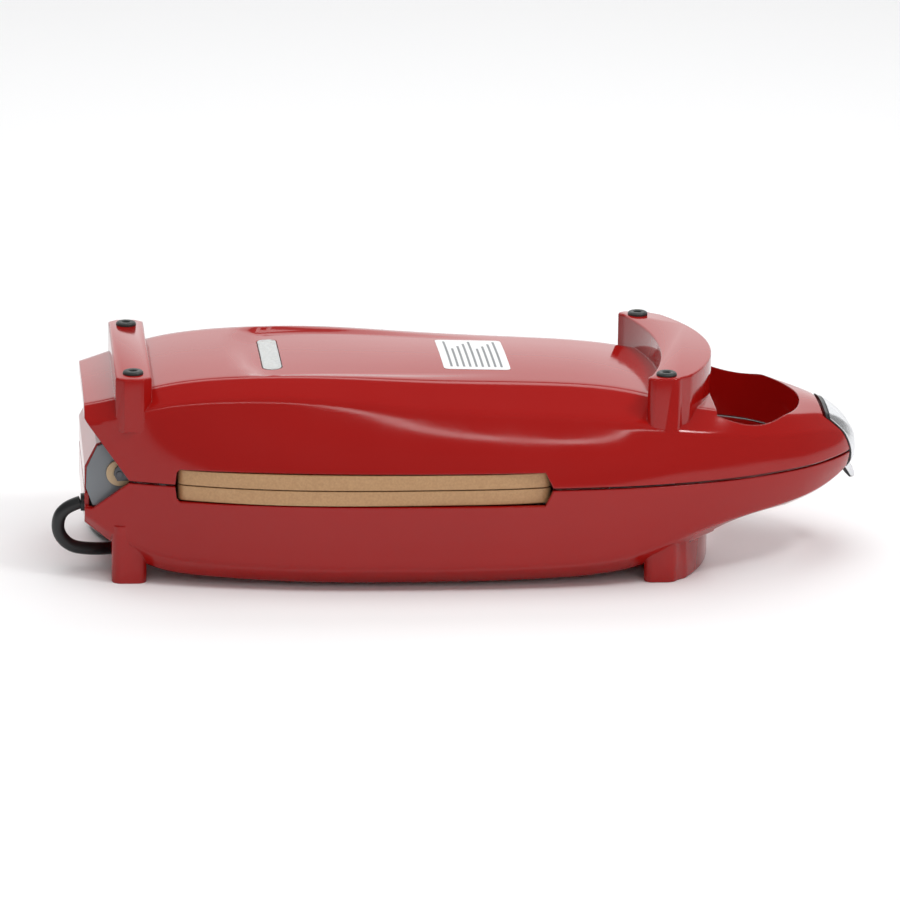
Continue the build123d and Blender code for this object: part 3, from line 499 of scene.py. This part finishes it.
def tongue_recess(piece):
    """Sink the shallow tongue round the lens into the lid's crown."""
    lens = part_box("indicator_lens")
    centre = (lens[0][0] + lens[1][0]) / 2 / MM
    rear, front, half = centre - 13.0, 20.0, 46.0
    bm = bmesh.new()
    bm.from_mesh(piece.data)
    for vert in bm.verts:
        x, y, z = vert.co
        if z < 30 or not rear - 6 < x < front:
            continue
        along = (x - rear) / (front - rear)
        width = half * (1 - 0.25 * max(along, 0) ** 2)
        inner = min(1.0, max(0.0, (width - abs(y)) / 4.5))
        start = min(1.0, max(0.0, (x - rear + 6 - 0.004 * y * y) / 9.0))
        depth = 2.7 * (1 - max(along, 0)) ** 1.3
        vert.co.z = z - depth * (inner * inner * (3 - 2 * inner)) * (start * start * (3 - 2 * start))
    bm.to_mesh(piece.data)
    bm.free()


# ---- casings -------------------------------------------------------------------------
def nose_block():
    """The solid nose that the latch is let into."""
    return box(164.4, 200, -24.5, 24.5, -PAST, PAST)


def sunk_skin(skin):
    """A copy of the skin with the shallow tongue sunk into its crown."""
    sunk = skin.copy()
    sunk.data = skin.data.copy()
    tongue_recess(sunk)
    return sunk


def lid_casing(skin, sunk):
    """The lid's shell with its rear bar and front foot, and its openings."""
    outside = solid_half(sunk, 1, name="lid_shell_skin")
    inside = solid_half(sunk, 1, inset=WALL)
    outside = combined(outside, prism(bar_outline(), BAR_LOW, TOP, "Z", bevel=0.9), "UNION")
    inside = combined(inside, prism(handle_outline(WALL), -PAST, PAST, "Z"), "DIFFERENCE")
    inside = combined(inside, nose_block(), "DIFFERENCE")
    outside = combined(outside, inside, "DIFFERENCE")
    outside = combined(outside, prism(handle_outline(0), -PAST, PAST, "Z"), "DIFFERENCE")
    outside = combined(outside, prism(crescent_outline(), CRESCENT_LOW, TOP, "Z", bevel=0.8), "UNION")
    chamfer = [(-200, 28.9), (-187, 28.9), (CORNER_REAR, RIM_GAP), (CORNER_REAR, -1), (-200, -1)]
    outside = combined(outside, prism(chamfer, -90, 90, "Y"), "DIFFERENCE")
    for side in (-1, 1):
        outside = combined(outside, notch(side), "DIFFERENCE")
    outside = combined(outside, latch_pocket(skin, LATCH_BACK - SWING_GAP), "DIFFERENCE")
    outside = combined(outside, lens_tool(LENS_GAP), "DIFFERENCE")
    outside.name = "lid_casing"
    return finished(outside, RED, "lid", ["lid_shell"])


def base_casing(skin):
    """The base's shell with its rear and front feet, and its openings."""
    outside = solid_half(skin, -1, name="base_shell_skin")
    inside = solid_half(skin, -1, inset=WALL)
    for y0, y1 in ((-POST_OUTER, -POST_INNER), (POST_INNER, POST_OUTER)):
        outline = rounded_outline(POST_REAR, POST_REAR + POST_LENGTH, y0, y1, POST_CORNER)
        outside = combined(outside, prism(outline, -TOP, POST_HIGH, "Z"), "UNION")
    inside = combined(inside, prism(handle_outline(WALL), -PAST, PAST, "Z"), "DIFFERENCE")
    inside = combined(inside, nose_block(), "DIFFERENCE")
    outside = combined(outside, inside, "DIFFERENCE")
    outside = combined(outside, prism(handle_outline(0), -PAST, PAST, "Z"), "DIFFERENCE")
    outside = combined(outside, prism(crescent_outline(), -TOP, -CRESCENT_LOW, "Z", bevel=0.8), "UNION")
    side_cut = [(-200, 1), (CORNER_REAR, 1), (CORNER_REAR, -RIM_GAP), (-183.4, -14.6), (-200, -14.6)]
    outside = combined(outside, prism(side_cut, -90, -48, "Y"), "DIFFERENCE")
    outside = combined(outside, prism(side_cut, 48, 90, "Y"), "DIFFERENCE")
    outside = combined(outside, box(-200, -162.7, -47, 47, -8, 1), "DIFFERENCE")
    for y0, y1 in ((-48, -45.8), (45.8, 48)):
        outside = combined(outside, box(-200, -162.6, y0, y1, -14, 1.2), "DIFFERENCE")
    for side in (-1, 1):
        outside = combined(outside, notch(side), "DIFFERENCE")
    outside = combined(outside, latch_pocket(skin, LATCH_BACK - SWING_GAP), "DIFFERENCE")
    outside = combined(outside, box(178.8, 200, -14.1, 14.1, -13.5, 1), "DIFFERENCE")
    outside = combined(outside, box(175.5, 200, -8.5, 8.5, -13.4, -7.2), "DIFFERENCE")
    relief = prism(arc((-34.0, -16.0), 5.3, 0, 345, 23), -200, -181, "X")
    outside = combined(outside, relief, "DIFFERENCE")
    outside.name = "base_casing"
    return finished(outside, RED, "base", ["base_shell"])


# ---- latch ---------------------------------------------------------------------------
def latch_layer(skin, outer, inner, gap, back, low):
    """A layer of the nose's skin between two insets, within the latch's outline."""
    layer = solid_half(skin, 0, inset=outer, start=150.0)
    layer = combined(layer, prism(latch_outline(gap), back, 200.0, "X"), "INTERSECT")
    core = solid_half(skin, 0, inset=inner, start=140.0)
    layer = combined(layer, core, "DIFFERENCE")
    return combined(layer, box(150, 187, -40, 40, low, 60), "INTERSECT")


def latch(skin):
    """The silver plate, on a black plate that shows as a thin line all round it."""
    cover = latch_layer(skin, -0.8, 1.2, 0.0, LATCH_BACK + LINER_BAND, -9.0)
    lip = [(181.6, -7.6), (184.6, -7.6), (185.9, -9.6), (186.8, -12.2), (187.0, -13.8),
           (186.6, -14.6), (185.2, -14.2), (184.0, -12.2), (182.4, -9.8)]
    cover = combined(cover, prism(lip, -9.0, 9.0, "Y"), "UNION")
    cover.name = "latch_cover_plate"
    finished(cover, SILVER, "latch", ["latch_cover"], angle=40)
    liner = latch_layer(skin, -0.45, 2.3, 0.35, LATCH_BACK, -9.2)
    under_lip = [(180.8, -8.8), (182.5, -9.6), (184.1, -12.1), (185.3, -14.1), (186.5, -14.6),
                 (184.6, -14.8), (182.4, -12.6), (180.8, -10.4)]
    liner = combined(liner, prism(under_lip, -8.9, 8.9, "Y"), "UNION")
    hook = [(177.6, -8.9), (183.0, -8.0), (182.6, -11.0), (178.4, -11.0)]
    liner = combined(liner, prism(hook, -7.0, 7.0, "Y"), "UNION")
    liner.name = "latch_back_plate"
    finished(liner, BLACK, "latch", ["latch_liner"], angle=40)


# ---- lens and label ---------------------------------------------------------------------
LENS_SHARE = 0.86           # the visible lens's width against the CAD lens's
LENS_GAP = 0.4              # the dark line round the lens


def slot_outline(extra):
    """The lens's outline, round at both ends."""
    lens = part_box("indicator_lens")
    x = (lens[0][0] + lens[1][0]) / 2 / MM
    radius = LENS_SHARE * (lens[1][0] - lens[0][0]) / 2 / MM + extra
    reach = (lens[1][1] - lens[0][1]) / 2 / MM + extra - radius
    far = arc((x, reach), radius, 0, 180, 14)
    near = arc((x, -reach), radius, 180, 360, 14)
    return far + near


def lens_tool(extra):
    return prism(slot_outline(extra), 30.0, 60.0, "Z")


def rounded_outline(x0, x1, y0, y1, radius):
    """A rectangle with round corners."""
    corners = [((x1 - radius, y1 - radius), 0), ((x0 + radius, y1 - radius), 90),
               ((x0 + radius, y0 + radius), 180), ((x1 - radius, y0 + radius), 270)]
    points = []
    for centre, start in corners:
        points += arc(centre, radius, start, start + 90, 6)
    return points


def layer_on_crown(skin, outline, low, high, name):
    """A thin layer on the lid's skin, between two heights over it."""
    piece = prism(outline, 25.0, 60.0, "Z", name=name)
    piece = combined(piece, solid_half(skin, 1, inset=-high), "INTERSECT")
    return combined(piece, solid_half(skin, 1, inset=-low), "DIFFERENCE")


def lens(sunk):
    """The clear lens, let into the sunk tongue."""
    cover = layer_on_crown(sunk, slot_outline(0), -2.2, 0.15, "lens_cover")
    finished(cover, LENS, "lid", ["indicator_lens"])


def label(sunk):
    """The blank label, with plain bars in place of its lettering."""
    low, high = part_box("rating_label")
    x0, x1 = low[0] / MM, high[0] / MM
    y0, y1 = low[1] / MM, high[1] / MM
    paper = layer_on_crown(sunk, rounded_outline(x0, x1, y0, y1, 2.5), -0.2, 0.15, "label_paper")
    finished(paper, PAPER, "lid", ["rating_label"])
    bars, margin, half_bar = 9, 4.0, 0.55
    pitch = (x1 - x0 - 5.0) / bars
    for number in range(bars):
        x = x0 + 2.5 + (number + 0.5) * pitch
        start = y0 + margin
        end = y1 - margin - 5.0 * (number * 7 % 4)
        outline = [(x - half_bar, start), (x + half_bar, start), (x + half_bar, end), (x - half_bar, end)]
        bar = layer_on_crown(sunk, outline, 0.1, 0.2, f"label_bar_{number + 1}")
        finished(bar, LABEL_BAR, "lid", [])


# ---- pads ----------------------------------------------------------------------------
def pads():
    """Four rubber pads with a chamfered rim and a dimple, each turned from its profile."""
    low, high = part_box("rubber_pads")
    radius = 4.85
    base = low[2] / MM - SEAM_MM
    top = high[2] / MM - SEAM_MM
    xs = (low[0] / MM + radius, high[0] / MM - radius)
    places = [(xs[0], 46.6), (xs[1], 58.3)]
    profile = [(radius, base), (radius, base + 0.9), (radius - 0.35, top - 0.3), (radius - 0.9, top),
               (2.5, top), (1.9, top - 0.35), (1.7, base + 0.4)]
    for number, (x, y) in enumerate([(x, side * y) for x, y in places for side in (-1, 1)]):
        bm = bmesh.new()
        verts = [bm.verts.new((r, 0, z)) for r, z in profile]
        edges = [bm.edges.new(pair) for pair in zip(verts, verts[1:])]
        bmesh.ops.spin(bm, geom=verts + edges, cent=(0, 0, 0), axis=(0, 0, 1), angle=math.tau,
                       steps=40, use_merge=True)
        bmesh.ops.holes_fill(bm, edges=[e for e in bm.edges if e.is_boundary], sides=0)
        bmesh.ops.recalc_face_normals(bm, faces=bm.faces)
        bmesh.ops.translate(bm, vec=(x, y, 0), verts=bm.verts)
        place(bm)
        pad = as_object(bm, f"rubber_pad_{number + 1}")
        finished(pad, RUBBER, "lid", ["rubber_pads"])


# ---- cord ----------------------------------------------------------------------------
CORD_ROUTE = [
    (-188.5, -34.0, 34.2), (-194.0, -34.0, 32.6), (-199.0, -33.0, 27.5), (-199.5, -31.5, 18.5),
    (-194.0, -30.0, 11.6), (-186.5, -28.5, 9.6), (-176.5, -26.0, 8.6), (-167.8, -17.0, 7.4),
    (-167.6, -3.0, 5.8), (-172.0, 11.0, 4.6), (-178.0, 26.0, 3.6), (-180.4, 44.0, 3.1),
    (-177.0, 64.0, 3.1), (-166.0, 84.0, 3.1), (-148.0, 99.0, 3.1), (-126.0, 109.0, 3.1),
    (-104.0, 114.5, 3.1), (-88.0, 116.2, 3.1),
]
TAIL_ROUTE = [(-28.0, 150.0, 9.3), (-26.5, 164.0, 9.6), (-20.0, 176.0, 10.0), (-9.0, 184.0, 10.0)]
COIL_CENTRE = (-62.0, 150.0)
CORD_RADIUS = 3.1
TURN_SLOTS = [(37.1, 3.1), (30.9, 3.1), (34.0, 8.45), (34.0, 8.45)]
COIL_START = -95.0
COIL_TURNS = 3.22
TURN_POINTS = 18


def coil_turns():
    """The put-away turns: two side by side on the floor and one on top of them."""
    points = []
    steps = int(COIL_TURNS * TURN_POINTS)
    for step in range(1, steps):
        turn = step / TURN_POINTS
        now, after = TURN_SLOTS[int(turn)], TURN_SLOTS[min(int(turn) + 1, 3)]
        share = max(0.0, (turn % 1.0 - 0.8) / 0.2)
        share = share * share * (3 - 2 * share)
        radius = now[0] + (after[0] - now[0]) * share
        height = now[1] + (after[1] - now[1]) * share
        angle = math.radians(COIL_START + 360 * turn)
        x = COIL_CENTRE[0] + radius * math.cos(angle)
        y = COIL_CENTRE[1] + radius * math.sin(angle)
        points.append((x, y, height))
    return points


def mains_cord():
    """The whole cord: the tight loop at the rear wall, the run behind, the coil and the tail."""
    curve = bpy.data.curves.new("mains_cord", "CURVE")
    curve.dimensions = "3D"
    curve.bevel_depth = CORD_RADIUS * MM
    curve.bevel_resolution = 6
    curve.resolution_u = 8
    curve.use_fill_caps = True
    points = CORD_ROUTE + coil_turns() + TAIL_ROUTE
    spline = curve.splines.new("NURBS")
    spline.points.add(len(points) - 1)
    for point, (x, y, z) in zip(spline.points, points):
        point.co = (x * MM, y * MM, z * MM, 1)
    spline.order_u = 3
    spline.use_endpoint_u = True
    spline.use_smooth = True
    cord = bpy.data.objects.new("mains_cord", curve)
    bpy.context.scene.collection.objects.link(cord)
    curve.materials.append(CORD_BLACK)
    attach(cord, "base")
    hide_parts("power_cord", "cord_tail", "cord_coil")


# ---- stage, light and camera -----------------------------------------------------------
def stage_plane(name, size, location, finish):
    bm = bmesh.new()
    bmesh.ops.create_grid(bm, x_segments=1, y_segments=1, size=size)
    bmesh.ops.translate(bm, vec=location, verts=bm.verts)
    plane = as_object(bm, name)
    plane.data.materials.append(finish)


def area_light(name, location, target, size, power, mirrored=True):
    """A soft box; one that isn't mirrored adds light but shows in no reflection."""
    light = bpy.data.lights.new(name, "AREA")
    light.shape = "RECTANGLE"
    light.size, light.size_y = size
    light.energy = power
    lamp = bpy.data.objects.new(name, light)
    lamp.location = location
    aim = Vector(target) - Vector(location)
    lamp.rotation_euler = aim.to_track_quat("-Z", "Y").to_euler()
    lamp.visible_glossy = mirrored
    bpy.context.scene.collection.objects.link(lamp)


def studio():
    """A white floor, fill lights, a long box behind, a strip in front and a window at the nose."""
    floor = Finish("floor", (0.90, 0.90, 0.905), 0.75)
    floor.spread(floor.noise(3.0), 0.7, 0.8)
    stage_plane("floor", 6.0, (0, 0, 0), floor.material)
    world = bpy.data.worlds.new("studio")
    bpy.context.scene.world = world
    world.use_nodes = True
    background = world.node_tree.nodes["Background"]
    background.inputs["Color"].default_value = (1.0, 1.0, 1.0, 1)
    background.inputs["Strength"].default_value = 0.26
    area_light("overhead_fill", (0.0, -0.1, 2.0), (0, 0, 0), (2.4, 2.0), 30, mirrored=False)
    area_light("front_fill", (0.3, -2.4, 0.9), (0, 0, 0.05), (2.2, 0.9), 8, mirrored=False)
    area_light("backdrop_glow", (0, 2.4, 0.75), (0, 0, 0.1), (5.0, 1.5), 22)
    area_light("rear_box", (-0.05, 1.0, 1.35), (0, 0, 0.05), (2.4, 0.42), 7)
    area_light("front_strip", (0.0, -1.25, 1.25), (0, 0, 0.05), (1.8, 0.07), 2.2)
    area_light("nose_window", (0.85, -0.6, 1.45), (0.15, 0, 0.05), (0.34, 0.30), 6)
    bpy.context.scene.view_settings.view_transform = "Standard"


def camera():
    """A long lens, a little above the object and slightly round from square on."""
    elevation, azimuth, roll = math.radians(15.5), math.radians(5.25), math.radians(0.81)
    distance = 2.889
    target = Vector((-0.010, 0, SEAM))
    right = Vector((math.cos(azimuth), -math.sin(azimuth), 0))
    forward = Vector((math.sin(azimuth) * math.cos(elevation), math.cos(azimuth) * math.cos(elevation),
                      -math.sin(elevation)))
    up = right.cross(forward)
    turned_right = right * math.cos(roll) + up * math.sin(roll)
    turned_up = up * math.cos(roll) - right * math.sin(roll)
    lens = bpy.data.cameras.new("camera")
    lens.lens = 239.2
    lens.sensor_width = 36
    lens.shift_x = 0.0016
    lens.shift_y = -0.0038
    lens.clip_end = 100
    view = bpy.data.objects.new("camera", lens)
    bpy.context.scene.collection.objects.link(view)
    turn = Matrix((turned_right, turned_up, -forward)).transposed().to_4x4()
    view.matrix_world = Matrix.Translation(target - forward * distance) @ turn
    bpy.context.scene.camera = view


camera()
mains_cord()
studio()
dress_frame()
whole_skin = body_skin(STATIONS)
tongue_skin = sunk_skin(whole_skin)
lid_casing(whole_skin, tongue_skin)
base_casing(whole_skin)
latch(whole_skin)
lens(tongue_skin)
label(tongue_skin)
pads()
bpy.data.objects.remove(whole_skin)
bpy.data.objects.remove(tongue_skin)
